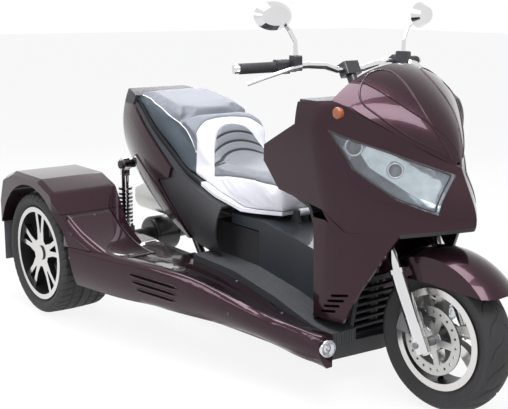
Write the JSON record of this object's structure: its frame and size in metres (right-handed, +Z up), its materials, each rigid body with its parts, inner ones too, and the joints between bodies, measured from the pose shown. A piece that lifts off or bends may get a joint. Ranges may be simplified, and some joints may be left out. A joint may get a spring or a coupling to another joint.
{
  "type": "motorized trike",
  "caption": "Scooter-bodied motor trike with a steered front wheel, wide driven rear wheels, a domed nose, side sills and a lifting two-up seat.",
  "frame": {"origin": "on the floor, at the middle of the trike's length and width", "axes": "+X forward, +Y to the rider's left, +Z up"},
  "size_m": [2.1734, 1.244, 1.2599],
  "materials": {
    "maroon_paint": "metallic lacquer",
    "black_plastic": "fine grain",
    "black_steel": "satin black",
    "engine_casting": "cast",
    "polished_steel": "bright",
    "rim_alloy": "machined and black",
    "tyre_rubber": "matt",
    "grip_rubber": "matt",
    "clear_lens": "clear",
    "amber_lens": "clear amber",
    "red_lens": "clear red",
    "grey_vinyl": "grained vinyl"
  },
  "bodies": {
    "chassis": {"main_frame": "black_steel", "engine_block": "engine_casting", "rear_axle": "black_steel", "swing_arms": "black_steel", "rear_shocks": "polished_steel", "muffler": "polished_steel", "belly_pan": "black_plastic", "footboards": "black_plastic", "centre_tunnel": "black_plastic", "pontoons": "maroon_paint", "step_lamps": "polished_steel", "rear_mudguards": "maroon_paint", "mud_flaps": "grip_rubber", "tail_panels": "maroon_paint", "tail_liner": "black_plastic", "tail_deck": "maroon_paint", "tail_end_plate": "black_plastic", "tail_lamp": "red_lens", "plate_bracket": "black_plastic", "seat_bucket": "black_plastic", "seat_hinge": "black_steel", "nose_fairing": "maroon_paint", "screen_panel": "maroon_paint", "headlamp_housings": "black_plastic", "headlamp_lenses": "clear_lens", "shield_panels": "maroon_paint", "chin_panel": "black_plastic", "inner_leg_shield": "black_plastic", "lower_leg_shield": "black_plastic", "dash": "black_plastic", "instruments": "black_plastic", "radiator_grille": "black_plastic", "front_indicators": "amber_lens"},
    "steering": {"steering_stem": "black_steel", "fork_tubes": "polished_steel", "fork_sliders": "polished_steel", "front_axle": "polished_steel", "front_fender": "maroon_paint", "brake_caliper": "black_steel", "handlebar": "polished_steel", "grips": "grip_rubber", "switch_boxes": "black_plastic", "brake_reservoirs": "black_plastic", "brake_levers": "polished_steel", "mirrors": "polished_steel"},
    "front_wheel": {"front_rim": "rim_alloy", "front_tyre": "tyre_rubber", "front_brake_disc": "polished_steel"},
    "rear_wheel_left": {"rear_rim_left": "rim_alloy", "rear_tyre_left": "tyre_rubber", "rear_hub_left": "black_steel"},
    "rear_wheel_right": {"rear_rim_right": "rim_alloy", "rear_tyre_right": "tyre_rubber", "rear_hub_right": "black_steel"},
    "seat": {"seat_pan": "black_plastic", "rider_saddle": "grey_vinyl", "lumbar_pad": "grey_vinyl", "pillion_pad": "grey_vinyl"}
  },
  "joints": [
    {"name": "steer", "type": "hinge", "parent": "chassis", "child": "steering", "pos_m": [0.82675, 0, 0.22148], "axis": [-0.4695, 0, 0.8829], "range_deg": [-35, 35]},
    {"name": "front_wheel_spin", "type": "hinge", "parent": "steering", "child": "front_wheel", "pos_m": [0.855, 0, 0.2365], "axis": [0, 1, 0], "continuous": true},
    {"name": "rear_wheel_left_spin", "type": "hinge", "parent": "chassis", "child": "rear_wheel_left", "pos_m": [-0.785, 0.4875, 0.2485], "axis": [0, 1, 0], "continuous": true},
    {"name": "rear_wheel_right_spin", "type": "hinge", "parent": "chassis", "child": "rear_wheel_right", "pos_m": [-0.785, -0.4875, 0.2485], "axis": [0, 1, 0], "continuous": true},
    {"name": "seat_lift", "type": "hinge", "parent": "chassis", "child": "seat", "pos_m": [0.184, 0, 0.518], "axis": [0, 1, 0], "range_deg": [0, 45]}
  ]
}
